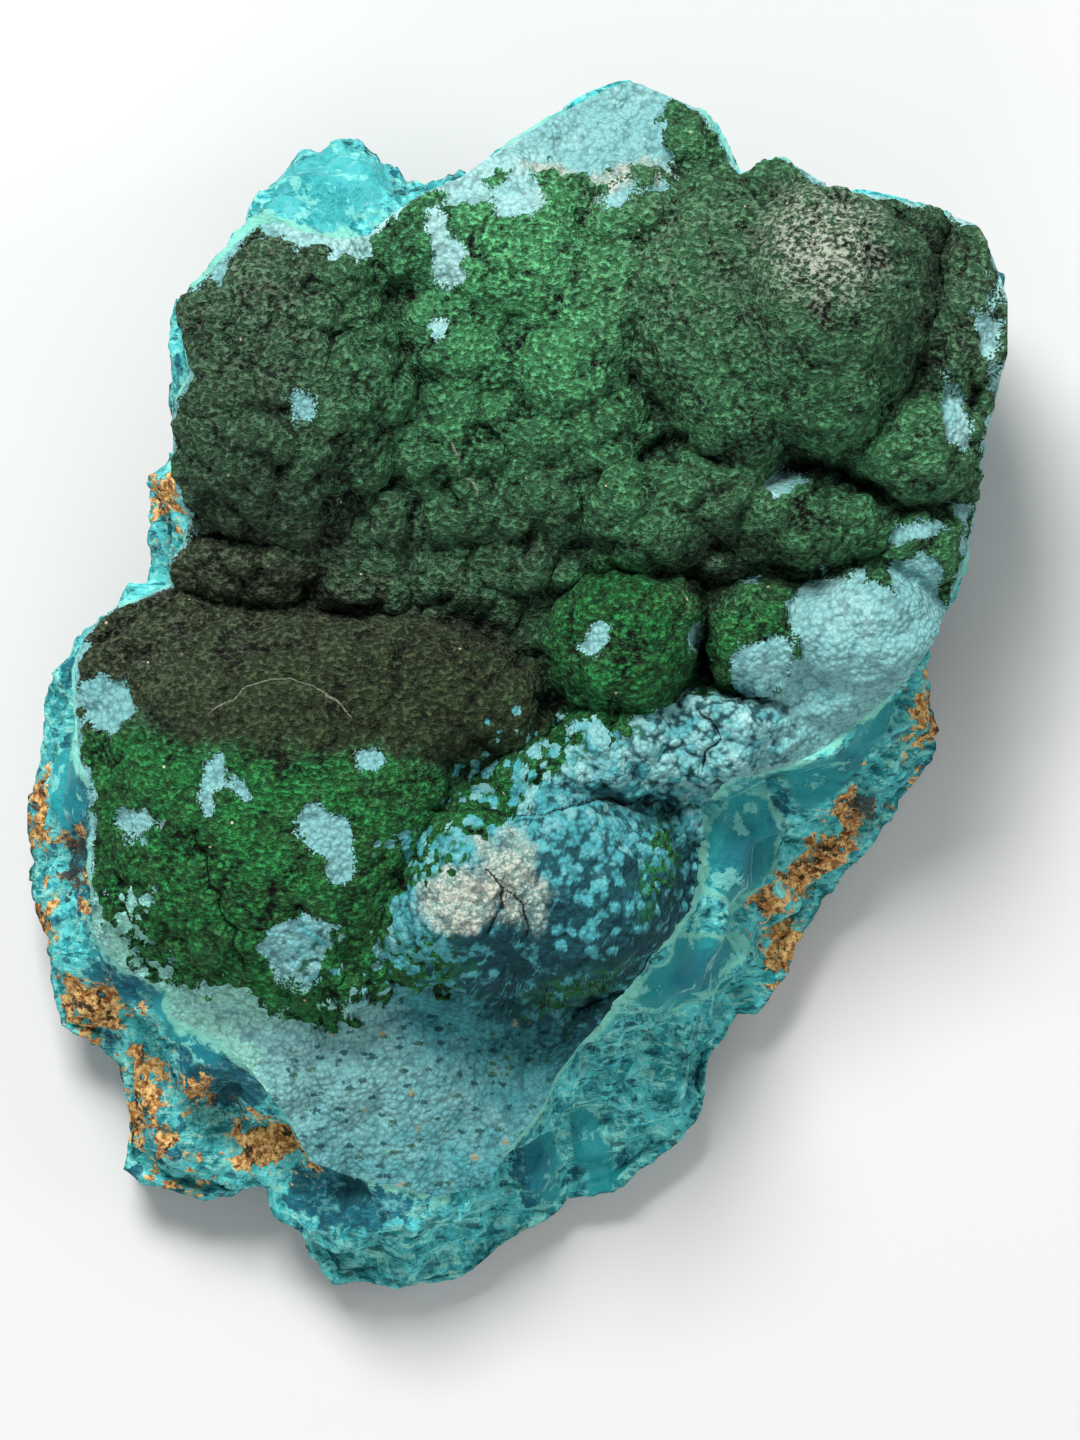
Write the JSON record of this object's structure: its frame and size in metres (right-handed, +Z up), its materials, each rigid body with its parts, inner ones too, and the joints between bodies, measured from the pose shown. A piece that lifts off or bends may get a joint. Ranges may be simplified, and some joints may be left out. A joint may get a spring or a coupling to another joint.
{
  "type": "mineral specimen",
  "caption": "Broken slab of chrysocolla with a lumpy velvety green crust over pale blue knobs, lying on its rough back.",
  "frame": {"origin": "under the middle of the bounding box, on the surface that the stone lies on", "axes": "+Z up out of the crust, +Y towards the end that is uppermost in the picture, +X to the right of the picture"},
  "size_m": [0.0984, 0.1222, 0.0433],
  "materials": {
    "chrysocolla": "matte"
  },
  "bodies": {
    "root": {"specimen": "chrysocolla"}
  },
  "joints": []
}
